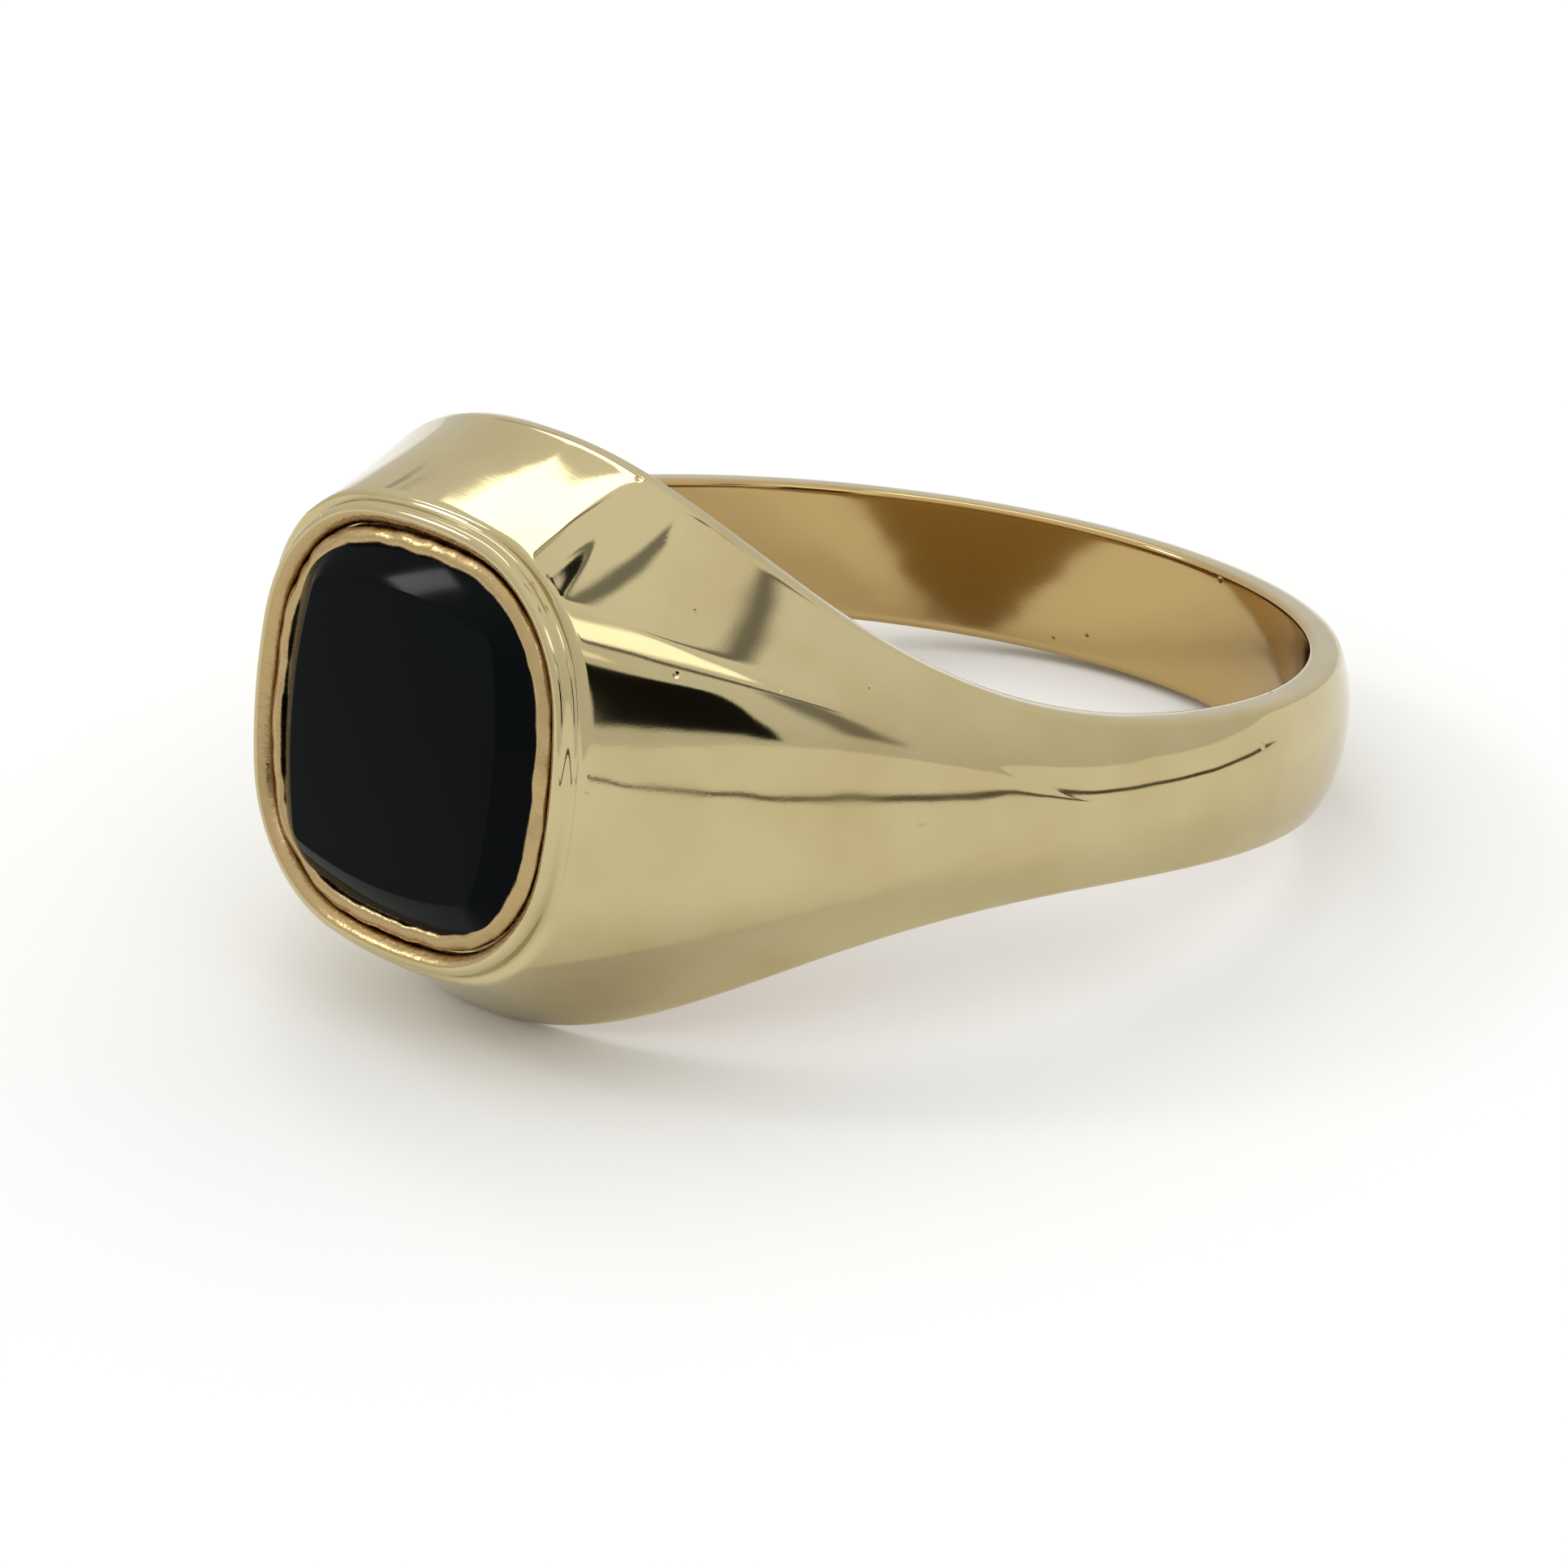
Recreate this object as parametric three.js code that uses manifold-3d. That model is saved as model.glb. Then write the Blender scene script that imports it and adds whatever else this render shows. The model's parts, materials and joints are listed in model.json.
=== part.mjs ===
// A gentleman's signet ring in 9 carat yellow gold with a black onyx tablet.
//
// The ring is laid out in its own ring frame: u runs from the middle of the finger bore out through
// the middle of the face, v runs across the face from left to right, and w runs along the finger.
// Angles round the finger are measured from u towards v. The finished ring lies on its side, resting
// on the lower edge of the head and of the shank, with its face to -Y. Millimetres, +Z up.

import * as THREE from 'three';
import Module from 'manifold-3d';

// ---- Driving dimensions ----

// The band round the finger
const boreDiameter = 19.0;
const shankThickness = 1.0; // at the middle of the band
const shankEdge = 0.66; // thickness at the two edges of the band
const shankWidth = 3.05; // along the finger, at the back
const edgeBreak = 0.12; // bevel where the bore meets the edges of the band

// The head and its shoulders
const headWidth = 12.0; // along the finger, where the head meets the bore
const headEdge = 0.3; // thickness at the two edges of the head
const headRise = 3.15; // from the bore to the top of the frame
const flareAngle = 44.7; // how far round the finger the head's width reaches, degrees
const flarePower = 2.28; // 2 is a bell curve, more is squarer
const cheekHollow = 0.1; // how much the cheeks are dished, as a share of their fall
const shoulderRadius = 22; // arc of the shoulder, seen along the finger
const ridgeEnd = 72; // where the two ridges of a shoulder run out, degrees
const crownStart = 34; // where the shoulder's flat sides begin to turn into the band's crown, degrees
const seamAngle = 78; // the solder seams between the shoulders and the shank, degrees

// The face: a cushion with bowed sides and round corners
const faceWidth = 8.8; // across, along v
const faceLength = 9.0; // along the finger, along w
const faceBow = 0.92; // rise of each bowed side
const faceCorner = 3.3; // corner radius
const headCorner = 2.9; // corner radius of the head's flat top, which the ridges start from

// The frame, the collet and what they hold
const frameStand = 0.34; // height of the frame above the head's flat top
const frameWidth = 0.42;
const frameLedge = 0.16; // how far the head's flat top reaches past the frame
const frameRound = 0.13; // bevel along the frame's outer and inner top edge
const colletWall = 0.28;
const colletStand = 0.08; // how far the collet's lip stands above the frame
const lipOverhang = 0.13; // how far the lip is pressed in over the tablet
const lipHeight = 0.24; // the part of the collet wall that is pressed over
const lipThickness = 0.12; // at its tip
const ledgeWidth = 0.55; // the bearer inside the collet
const ledgeHeight = 0.3;
const tabletThickness = 1.6;
const tabletBevel = 0.72; // width of the bevel round the table
const tabletBevelDrop = 0.44;
const tabletCorner = 1.5; // corner radius

// Clearances
const solderGap = 0.05;
const settingGap = 0.04;

// Facets
const sideSteps = 4; // along half of one side of the face
const cornerSteps = 6; // round one corner of the face, an even number
const shoulderSteps = 20;
const shankSteps = 34;
const cheekSteps = 7;
const boreSteps = 3; // from the middle of the bore to its edge

// ---- Sizes that follow ----

const boreRadius = boreDiameter / 2;
const shankRadius = boreRadius + shankThickness;
const frameTop = boreRadius + headRise;
const headTop = frameTop - frameStand;
const seam = THREE.MathUtils.degToRad(seamAngle);

const smooth = (x, from, to) => THREE.MathUtils.smoothstep(x, from, to);
const point = (u, v, w) => new THREE.Vector3(v, -u, w);

// ---- The cushion outline ----

// The outline is described by the box it fills, how far its sides bow, and its corner radius.
// cushion() gives its points, moved outwards by grow, as [v, w] from the middle of the right side
// round by the top, so equal steps on two outlines lie side by side.
function cushion(outline, grow = 0) {
  const { halfWidth, halfLength, bow, corner } = outline;
  const sideRadius = (halfLength ** 2 + bow ** 2) / (2 * bow);
  const topRadius = (halfWidth ** 2 + bow ** 2) / (2 * bow);
  const sideCentre = halfWidth - sideRadius;
  const topCentre = halfLength - topRadius;

  // The corner circle touches both bowed sides from inside.
  const fromSide = sideRadius - corner;
  const fromTop = topRadius - corner;
  const apart = Math.hypot(sideCentre, topCentre);
  const along = (fromSide ** 2 - fromTop ** 2 + apart ** 2) / (2 * apart);
  const across = Math.sqrt(fromSide ** 2 - along ** 2);
  const cornerV = sideCentre + (-sideCentre * along + -topCentre * across) / apart;
  const cornerW = (topCentre * along - sideCentre * across) / apart;

  const sideEnd = Math.atan2(cornerW, cornerV - sideCentre);
  const topStart = Math.atan2(cornerW - topCentre, cornerV);
  const arc = (v, w, radius, from, to, steps) =>
    Array.from({ length: steps }, (_, i) => {
      const angle = from + ((to - from) * i) / steps;
      return [v + radius * Math.cos(angle), w + radius * Math.sin(angle)];
    });
  const quarter = [
    ...arc(sideCentre, 0, sideRadius + grow, 0, sideEnd, sideSteps),
    ...arc(cornerV, cornerW, corner + grow, sideEnd, topStart, cornerSteps),
    ...arc(0, topCentre, topRadius + grow, topStart, Math.PI / 2, sideSteps),
  ];
  const top = [0, halfLength + grow];
  const half = [...quarter, top, ...quarter.slice(1).reverse().map(([v, w]) => [-v, w])];
  return [...half, ...half.map(([v, w]) => [-v, -w])];
}

const faceOutline = {
  halfWidth: faceWidth / 2,
  halfLength: faceLength / 2,
  bow: faceBow,
  corner: faceCorner,
};

const headOutline = {
  halfWidth: faceWidth / 2 + frameLedge,
  halfLength: faceLength / 2 + frameLedge,
  bow: faceBow,
  corner: headCorner,
};

// The tablet is what the frame, the collet and their clearances leave of the face.
const tabletInset = frameWidth + solderGap + colletWall + settingGap;
const tabletOutline = {
  halfWidth: faceWidth / 2 - tabletInset,
  halfLength: faceLength / 2 - tabletInset,
  bow: faceBow,
  corner: tabletCorner,
};
const colletInside = settingGap;
const colletOutside = colletInside + colletWall;
const socketInside = colletOutside + solderGap;

// Heights inside the head, from the lip downwards. The lip's tip lies on the tablet's bevel.
const lipTop = frameTop + colletStand;
const lipUnder = lipTop - lipThickness;
const girdleTop = lipUnder - settingGap - (tabletBevelDrop * lipOverhang) / tabletBevel;
const tabletTop = girdleTop + tabletBevelDrop;
const tabletFoot = tabletTop - tabletThickness;
const ledgeTop = tabletFoot - settingGap;
const colletFoot = ledgeTop - ledgeHeight;
const socketFloor = colletFoot - solderGap;

// ---- Solids ----

// A closed solid from rows of points: every row is a closed loop with the same number of points.
// The rows close on themselves when ring is true, and are capped at both ends when it is false.
function solidFromRows(rows, ring) {
  const count = rows[0].length;
  const points = rows.flat();
  const faces = [];
  const bands = ring ? rows.length : rows.length - 1;
  for (let r = 0; r < bands; r += 1) {
    const here = r * count;
    const next = ((r + 1) % rows.length) * count;
    for (let i = 0; i < count; i += 1) {
      const j = (i + 1) % count;
      faces.push(here + i, next + j, here + j);
      faces.push(here + i, next + i, next + j);
    }
  }
  if (!ring) {
    faces.push(...cap(rows[0], 0).reverse());
    faces.push(...cap(rows.at(-1), (rows.length - 1) * count));
  }
  const geometry = new THREE.BufferGeometry();
  geometry.setAttribute('position', new THREE.Float32BufferAttribute(points.flatMap((p) => p.toArray()), 3));
  geometry.setIndex(faces);
  return geometry;
}

// Triangles that close a flat loop, wound the other way to its own direction.
function cap(row, first) {
  const normal = new THREE.Vector3();
  row.forEach((p, i) => normal.add(new THREE.Vector3().crossVectors(p, row[(i + 1) % row.length])));
  const turn = new THREE.Quaternion().setFromUnitVectors(normal.normalize(), new THREE.Vector3(0, 0, 1));
  const flat = row.map((p) => p.clone().applyQuaternion(turn));
  const triangles = THREE.ShapeUtils.triangulateShape(flat.map((p) => new THREE.Vector2(p.x, p.y)), []);
  return triangles.flat().map((i) => first + i).reverse();
}

// The outline at one height, run clockwise, so that levels stacked upwards face outwards.
const level = (outline, grow, u) => cushion(outline, grow).map(([v, w]) => point(u, v, w)).reverse();

const wasm = await Module();
wasm.setup();

function cut(geometry, tool) {
  const [body, cutter] = [geometry, tool].map((g) => new wasm.Manifold(new wasm.Mesh({
    numProp: 3,
    vertProperties: new Float32Array(g.attributes.position.array),
    triVerts: new Uint32Array(g.index.array),
  })));
  const mesh = body.subtract(cutter).getMesh();
  const result = new THREE.BufferGeometry();
  result.setAttribute('position', new THREE.BufferAttribute(mesh.vertProperties, 3));
  result.setIndex(new THREE.BufferAttribute(mesh.triVerts, 1));
  return result;
}

// ---- Sections of the band ----

// The edge of the bore along w: a bell curve that widens the band under the head.
function edgeAt(angle) {
  const turn = Math.abs(THREE.MathUtils.radToDeg(angle)) / flareAngle;
  return shankWidth / 2 + ((headWidth - shankWidth) / 2) * Math.exp(-(turn ** flarePower));
}

// The shoulder, seen along the finger, is one arc from the side of the head's top onto the band, where the
// two touch. These give where that happens and the arc's radius from the middle of the bore.
const topCornerRadius = Math.hypot(headTop, headOutline.halfWidth);
const topAngle = Math.atan2(headOutline.halfWidth, headTop);
const arcOffset = shoulderRadius - shankRadius;
const touchAngle = topAngle + Math.acos(
  (shoulderRadius ** 2 - topCornerRadius ** 2 - arcOffset ** 2) / (2 * topCornerRadius * arcOffset),
);
function shoulderAt(angle) {
  const turn = Math.min(angle - touchAngle, 0);
  return Math.sqrt(shoulderRadius ** 2 - (arcOffset * Math.sin(turn)) ** 2) - arcOffset * Math.cos(turn);
}

// One section of the band: the given top line, from its middle out to the ridge, then the cheek down
// to the edge of the bore, and back through the bore. Closed by its mirror image below the middle.
function section(topLine) {
  const ridge = topLine.at(-1);
  const angle = Math.atan2(ridge.x, -ridge.y);
  const turn = Math.abs(THREE.MathUtils.radToDeg(angle));
  const edge = edgeAt(angle);
  const high = Math.hypot(ridge.x, ridge.y);
  const low = boreRadius + THREE.MathUtils.lerp(headEdge, shankEdge, smooth(turn, 0, seamAngle));
  const crown = THREE.MathUtils.lerp(-cheekHollow, 1, smooth(turn, crownStart, ridgeEnd));
  const at = (radius, w) => point(radius * Math.cos(angle), radius * Math.sin(angle), w);

  // The cheek is a parabola from the ridge to the edge, dished on the head and crowned on the band.
  const bend = (high + low) / 2 + (crown * (high - low)) / 2;
  const half = [...topLine];
  for (let i = 1; i <= cheekSteps; i += 1) {
    const t = i / cheekSteps;
    const radius = (1 - t) ** 2 * high + 2 * t * (1 - t) * bend + t ** 2 * low;
    half.push(at(radius, THREE.MathUtils.lerp(ridge.z, edge, t)));
  }
  half.push(at(boreRadius + edgeBreak, edge));
  for (let i = boreSteps; i >= 0; i -= 1) {
    half.push(at(boreRadius, ((edge - edgeBreak) * i) / boreSteps));
  }
  const below = half.slice(1, -1).reverse().map((p) => new THREE.Vector3(p.x, p.y, -p.z));
  return [...half, ...below];
}

// ---- The head with its shoulders ----

// Over the face a section's top line runs straight across the head's flat top, out to the outline.
// The last of them follows the side of the outline itself, from its middle to its corner. From there
// the top line narrows along the shoulder and straightens, and its two ends draw the ridges.
function headSections() {
  const quarter = cushion(headOutline).slice(0, 2 * sideSteps + cornerSteps + 1);
  const cornerAt = sideSteps + cornerSteps / 2;
  const across = quarter.slice(cornerAt + 1).reverse();
  const side = quarter.slice(0, cornerAt + 1);
  const sections = across.map(([v, w]) =>
    section(side.map((_, i) => point(headTop, v, (w * i) / cornerAt))));
  const end = THREE.MathUtils.degToRad(ridgeEnd);
  for (let i = 0; i <= shoulderSteps; i += 1) {
    const angle = THREE.MathUtils.lerp(topAngle, seam, i / shoulderSteps);
    const left = Math.max(1 - (angle - topAngle) / (end - topAngle), solderGap);
    const radius = shoulderAt(angle);
    sections.push(section(side.map(([v, w]) =>
      point(radius * Math.cos(angle), radius * Math.sin(angle) + (v - headOutline.halfWidth) * left ** 2, w * left))));
  }
  const mirrored = sections.slice(1).reverse().map((row) => row.map((p) => new THREE.Vector3(-p.x, p.y, p.z)));
  return [...mirrored, ...sections];
}

function signetHead() {
  const above = frameTop + 1;
  const socket = solidFromRows(
    [level(tabletOutline, socketInside, socketFloor), level(tabletOutline, socketInside, above)],
    false,
  );
  return cut(solidFromRows(headSections(), false), socket);
}

// ---- The shank ----

function shank() {
  const gapAngle = solderGap / shankRadius;
  const rows = [];
  for (let i = 0; i <= shankSteps; i += 1) {
    const angle = THREE.MathUtils.lerp(seam + gapAngle, 2 * Math.PI - seam - gapAngle, i / shankSteps);
    const middle = point(shankRadius * Math.cos(angle), shankRadius * Math.sin(angle), 0);
    rows.push(section([middle]));
  }
  return solidFromRows(rows, false);
}

// ---- The frame round the face ----

// Each entry is [outline, grow, u]: the closed profile of a ring that follows the face.
function ringFromProfile(profile) {
  return solidFromRows(profile.map(([outline, grow, u]) => level(outline, grow, u)), true);
}

function frame() {
  const foot = headTop + solderGap;
  return ringFromProfile([
    [faceOutline, 0, foot],
    [faceOutline, 0, frameTop - frameRound],
    [faceOutline, -frameRound * 0.3, frameTop - frameRound * 0.3],
    [faceOutline, -frameRound, frameTop],
    [tabletOutline, socketInside + frameRound * 0.5, frameTop],
    [tabletOutline, socketInside, frameTop - frameRound * 0.5],
    [tabletOutline, socketInside, foot],
  ]);
}

// ---- The collet: a thin upright wall with a bearer inside and its top pressed over the tablet ----

function collet() {
  return ringFromProfile([
    [tabletOutline, colletOutside, colletFoot],
    [tabletOutline, colletOutside, lipTop - lipHeight],
    [tabletOutline, colletOutside - colletWall * 0.25, lipTop],
    [tabletOutline, colletInside, lipTop],
    [tabletOutline, -lipOverhang, lipUnder + lipThickness * 0.6],
    [tabletOutline, -lipOverhang, lipUnder],
    [tabletOutline, colletInside, girdleTop + settingGap],
    [tabletOutline, colletInside, ledgeTop],
    [tabletOutline, colletInside - ledgeWidth, ledgeTop],
    [tabletOutline, colletInside - ledgeWidth, colletFoot],
  ]);
}

// ---- The onyx tablet, and the cement that beds it in the middle of the collet ----

function onyxTablet() {
  return solidFromRows([
    level(tabletOutline, 0, tabletFoot),
    level(tabletOutline, 0, girdleTop),
    level(tabletOutline, -tabletBevel, tabletTop),
  ], false);
}

function cementBed() {
  const edge = colletInside - ledgeWidth - settingGap;
  return solidFromRows([
    level(tabletOutline, edge, colletFoot),
    level(tabletOutline, edge, ledgeTop),
  ], false);
}

// ---- Assembly ----

const gold = { color: 0xcdbb8a, metalness: 1, roughness: 0.12 };
const pieces = [
  ['signet_head', signetHead(), gold],
  ['shank', shank(), gold],
  ['face_frame', frame(), gold],
  ['collet', collet(), { color: 0xb99a63, metalness: 1, roughness: 0.25 }],
  ['onyx_tablet', onyxTablet(), { color: 0x0a0e10, metalness: 0, roughness: 0.08 }],
  ['cement_bed', cementBed(), { color: 0xb9ae93, metalness: 0, roughness: 0.8 }],
];

const ring = new THREE.Group();
for (const [name, geometry, look] of pieces) {
  geometry.computeVertexNormals();
  const mesh = new THREE.Mesh(geometry, new THREE.MeshStandardMaterial(look));
  mesh.name = name;
  ring.add(mesh);
}

// The ring is turned face up until the head and the shank both touch the surface under them.
function restingTilt() {
  const corners = [];
  for (const { geometry } of ring.children) {
    const position = geometry.attributes.position;
    for (let i = 0; i < position.count; i += 1) corners.push([position.getY(i), position.getZ(i)]);
  }
  const lowest = corners.filter(([y]) => y < 0).reduce((a, b) => (b[1] < a[1] ? b : a));
  const back = corners.filter(([y]) => y > 0);
  return Math.min(...back.map(([y, z]) => Math.atan2(z - lowest[1], y - lowest[0])));
}
ring.rotation.x = -restingTilt();

const signetRing = new THREE.Group();
signetRing.add(ring);
signetRing.updateMatrixWorld(true);
const box = new THREE.Box3().setFromObject(signetRing, true);
const middle = box.getCenter(new THREE.Vector3());
ring.position.set(-middle.x, -middle.y, -box.min.z);

export default signetRing;
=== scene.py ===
# A gentleman's signet ring in polished 9 carat gold with a bevelled onyx tablet, lying on its side.
# The scene is in metres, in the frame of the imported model, and sizes are written in millimetres.
# It follows the ring as it is made: the cast head with its shoulders, the shank, the frame round
# the face, the collet and the stone.
import bpy
import json
import math
from mathutils import Matrix, Vector, noise


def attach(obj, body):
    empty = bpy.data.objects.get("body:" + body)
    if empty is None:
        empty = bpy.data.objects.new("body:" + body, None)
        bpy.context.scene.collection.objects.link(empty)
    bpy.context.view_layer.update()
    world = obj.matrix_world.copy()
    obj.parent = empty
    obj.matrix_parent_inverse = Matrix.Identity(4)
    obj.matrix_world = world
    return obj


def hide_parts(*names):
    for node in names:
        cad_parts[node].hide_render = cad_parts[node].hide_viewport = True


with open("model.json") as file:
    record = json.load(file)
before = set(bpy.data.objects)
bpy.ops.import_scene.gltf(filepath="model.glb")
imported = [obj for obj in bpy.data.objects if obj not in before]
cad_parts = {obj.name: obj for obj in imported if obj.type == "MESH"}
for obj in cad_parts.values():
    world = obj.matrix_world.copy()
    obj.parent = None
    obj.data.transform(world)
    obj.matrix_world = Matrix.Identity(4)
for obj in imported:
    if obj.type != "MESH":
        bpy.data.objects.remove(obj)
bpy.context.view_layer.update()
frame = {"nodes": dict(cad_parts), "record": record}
MM = 0.001


# ---- Camera ----
# A long lens from in front and to the right, a little above the ring.
VIEW_AZIMUTH = math.radians(45.9)
VIEW_HEIGHT = math.radians(25.1)
VIEW_ROLL = math.radians(-3.46)
VIEW_DISTANCE = 123.9 * MM
VIEW_AIM = Vector((-0.30, -0.31, 1.53)) * MM
VIEW_LENS = 136.0
SENSOR_WIDTH = 36.0
NEAREST_SEEN = 1 * MM
FARTHEST_SEEN = 5.0

bpy.ops.object.select_all(action="DESELECT")
bpy.ops.object.camera_add()
camera = bpy.context.object
camera.data.lens = VIEW_LENS
camera.data.sensor_width = SENSOR_WIDTH
camera.data.clip_start = NEAREST_SEEN
camera.data.clip_end = FARTHEST_SEEN
to_camera = Vector((
    math.sin(VIEW_AZIMUTH) * math.cos(VIEW_HEIGHT),
    -math.cos(VIEW_AZIMUTH) * math.cos(VIEW_HEIGHT),
    math.sin(VIEW_HEIGHT),
))
camera.location = VIEW_AIM + to_camera * VIEW_DISTANCE
level_turn = to_camera.to_track_quat("Z", "Y").to_matrix().to_4x4()
camera.rotation_euler = (level_turn @ Matrix.Rotation(VIEW_ROLL, 4, "Z")).to_euler()
bpy.context.scene.camera = camera


# ---- Signet head and shank ----
# On the real ring the head and both shoulders are one casting in 9 carat gold, and the shank is
# crowned wire, bent round and soldered to the shoulders. The two are filed and polished together,
# so they are shaped here as one band and then parted at the two solder seams.

# Heights (u) are from the bore's middle, and angles are in degrees from the face.
BORE_RADIUS = 9.5
SHANK_RADIUS = 10.5
SHANK_WIDTH = 3.05
SHANK_EDGE = 0.66  # its thickness at the two edges
HEAD_WIDTH = 12.0
HEAD_EDGE = 0.3  # its thickness at the two edges
HEAD_TOP = 12.31
HEAD_OUTLINE = {"half_width": 4.56, "half_length": 4.66, "bow": 0.92, "corner": 2.9}  # its flat top
TABLE_HEIGHT = 12.931  # the stone's flat top
FLARE_ANGLE = 44.7  # where the head's extra width has fallen to 37%
FLARE_POWER = 2.28  # 2 is a bell curve, more is squarer
SHOULDER_RADIUS = 22.0
CHEEK_HOLLOW = 0.1  # dish of the head's cheeks, 0 being straight
CROWN_START = 34.0  # where the cheeks begin to turn into the band's crown
RIDGE_END = 72.0
RIDGE_LEAST = 0.05  # share of their distance at the face that the ridges keep
SEAM_ANGLE = 78.0

# The ring frame: u out through the face, v across it, w along the finger, from the bore's middle.
table = next(m for m in frame["record"]["mounts"] if m["name"] == "table")
face_out = Vector(table["axis"]).normalized()
along_finger = Vector((1, 0, 0)).cross(face_out) * -1
bore_middle = Vector(table["pos_m"]) - face_out * TABLE_HEIGHT * MM


def place(u, v, w):
    """A point of the ring frame, in millimetres, as a point of the scene."""
    return bore_middle + (face_out * u + Vector((v, 0, 0)) + along_finger * w) * MM


def smooth(x, start, end):
    """0 up to start and 1 from end on, with a soft step between them."""
    t = min(max((x - start) / (end - start), 0), 1)
    return t * t * (3 - 2 * t)


def mix(a, b, t):
    return a + (b - a) * t


def cushion(outline, grow, side_steps, corner_steps):
    """A quarter of a cushion outline, moved out by grow, from the middle of its right side to the
    middle of its top: two sides that bulge by bow, and the round corner that touches both."""
    a, b, bow, corner = (outline[k] for k in ("half_width", "half_length", "bow", "corner"))
    side_radius = (b * b + bow * bow) / (2 * bow)
    top_radius = (a * a + bow * bow) / (2 * bow)
    side_centre, top_centre = a - side_radius, b - top_radius
    from_side, from_top = side_radius - corner, top_radius - corner
    apart = math.hypot(side_centre, top_centre)
    along = (from_side ** 2 - from_top ** 2 + apart ** 2) / (2 * apart)
    across = math.sqrt(from_side ** 2 - along ** 2)
    corner_v = side_centre - (side_centre * along + top_centre * across) / apart
    corner_w = (top_centre * along - side_centre * across) / apart
    side_end = math.atan2(corner_w, corner_v - side_centre)
    top_start = math.atan2(corner_w - top_centre, corner_v)
    arcs = (
        (side_centre, 0, side_radius, 0, side_end, side_steps),
        (corner_v, corner_w, corner, side_end, top_start, corner_steps),
        (0, top_centre, top_radius, top_start, math.pi / 2, side_steps),
    )
    points = []
    for v, w, radius, start, end, steps in arcs:
        for i in range(steps):
            angle = mix(start, end, i / steps)
            points.append((v + (radius + grow) * math.cos(angle), w + (radius + grow) * math.sin(angle)))
    return points + [(0, b + grow)]


def edge_at(turn):
    """Half the band's width at an angle from the face: a bell curve that widens it under the head."""
    return SHANK_WIDTH / 2 + (HEAD_WIDTH - SHANK_WIDTH) / 2 * math.exp(-(turn / FLARE_ANGLE) ** FLARE_POWER)


# Seen along the finger, the shoulder is one arc from the head's flat top onto the band.
top_corner = math.hypot(HEAD_TOP, HEAD_OUTLINE["half_width"])
top_angle = math.atan2(HEAD_OUTLINE["half_width"], HEAD_TOP)
arc_offset = SHOULDER_RADIUS - SHANK_RADIUS
touch_angle = top_angle + math.acos(
    (SHOULDER_RADIUS ** 2 - top_corner ** 2 - arc_offset ** 2) / (2 * top_corner * arc_offset))


def shoulder_at(angle):
    """The shoulder's distance from the bore's middle, at an angle from the face."""
    turn = min(angle - touch_angle, 0)
    return math.sqrt(SHOULDER_RADIUS ** 2 - (arc_offset * math.sin(turn)) ** 2) - arc_offset * math.cos(turn)


# The buff rounds the ridges hardly at all beside the face and more and more towards the shank.
RIDGE_ROUND_AT_FACE = 0.12
RIDGE_ROUND_AT_SHANK = 0.5
ROUND_START = 19
ROUND_END = 50
EDGE_ROUND = 0.17
MOST_OF_CHEEK = 0.1  # share of the cheek that a rounding may take
MOST_OF_TOP = 0.5  # share of the last step before the ridge
LEAST_REACH = 1e-6
CHEEK_STEPS = 7
BORE_STEPS = 3


def section(top_line):
    """One closed section of the band: top_line runs from its middle to the ridge, then come the
    cheek, the softened edge and the bore, and the same again below the middle."""
    u, v, w = top_line[-1]
    angle = math.atan2(v, u)
    turn = abs(math.degrees(angle))
    edge = edge_at(turn)
    high = math.hypot(u, v)
    low = BORE_RADIUS + mix(HEAD_EDGE, SHANK_EDGE, smooth(turn, 0, SEAM_ANGLE))
    crown = mix(-CHEEK_HOLLOW, 1, smooth(turn, CROWN_START, RIDGE_END))
    bend = (high + low) / 2 + crown * (high - low) / 2
    slope = math.hypot(high - low, edge - w)
    softness = mix(RIDGE_ROUND_AT_FACE, RIDGE_ROUND_AT_SHANK, smooth(turn, ROUND_START, ROUND_END))

    def at(radius, along):
        return (radius * math.cos(angle), radius * math.sin(angle), along)

    def cheek(t):
        return at((1 - t) ** 2 * high + 2 * t * (1 - t) * bend + t * t * low, mix(w, edge, t))

    reach = max(math.dist(top_line[-1], top_line[-2]), LEAST_REACH)
    near = min(softness / reach, MOST_OF_TOP)
    support = tuple(mix(p, q, near) for p, q in zip(top_line[-1], top_line[-2]))
    first = min(softness / slope, MOST_OF_CHEEK)
    last = 1 - min(EDGE_ROUND / slope, MOST_OF_CHEEK)
    half = list(top_line[:-1]) + [support, top_line[-1]]
    half += [cheek(mix(first, last, i / CHEEK_STEPS)) for i in range(CHEEK_STEPS + 1)]
    half += [at(low, edge), at((low + BORE_RADIUS) / 2, edge), at(BORE_RADIUS, edge)]
    half += [at(BORE_RADIUS, (edge - EDGE_ROUND) * i / BORE_STEPS) for i in range(BORE_STEPS, -1, -1)]
    return half + [(u, v, -w) for u, v, w in half[-2:0:-1]]


SIDE_STEPS = 4
CORNER_STEPS = 8
SHOULDER_STEPS = 22
SHANK_STEPS = 36
MIDDLE_OF_CORNER = SIDE_STEPS + CORNER_STEPS // 2
outline = cushion(HEAD_OUTLINE, 0, SIDE_STEPS, CORNER_STEPS)
side_of_face = outline[:MIDDLE_OF_CORNER + 1]


def band_row(angle):
    """The section at an angle from the face: the outline's side, carried back and narrowed."""
    left = max(1 - (angle - top_angle) / (math.radians(RIDGE_END) - top_angle), RIDGE_LEAST)
    radius = shoulder_at(angle)
    return section([
        (radius * math.cos(angle),
         radius * math.sin(angle) + (v - HEAD_OUTLINE["half_width"]) * left ** 2 * (angle < math.pi / 2),
         w * left)
        for v, w in side_of_face])


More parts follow.
